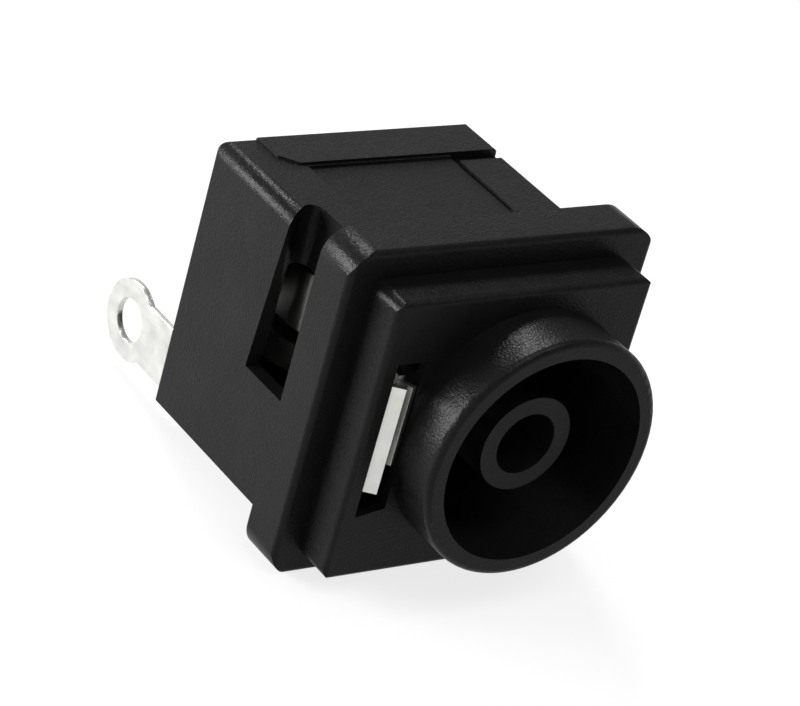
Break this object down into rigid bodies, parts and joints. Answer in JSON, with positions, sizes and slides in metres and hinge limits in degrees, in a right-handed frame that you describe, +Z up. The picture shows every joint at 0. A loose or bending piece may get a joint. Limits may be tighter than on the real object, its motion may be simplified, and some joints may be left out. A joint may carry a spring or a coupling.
{
  "type": "dc barrel jack",
  "caption": "Black moulded power inlet with a square stepped flange, round plug cup, hollow centre post, spring contacts and rear eyelet terminals.",
  "frame": {"origin": "on the axis of the barrel and post, in the plane of the flange's back face", "axes": "-Y points out of the mouth, +Y to the rear terminals, +X to the right seen from the front, +Z up"},
  "size_m": [0.0108, 0.0157, 0.0107],
  "materials": {
    "housing_plastic": "black moulded plastic with a fine spark-eroded grain, satin on its edges",
    "contact_metal": "bright tin-plated sheet, lightly rolled grain"
  },
  "bodies": {
    "root": {"housing": "housing_plastic", "sleeve_spring": "contact_metal", "pin_socket": "contact_metal"}
  },
  "joints": []
}
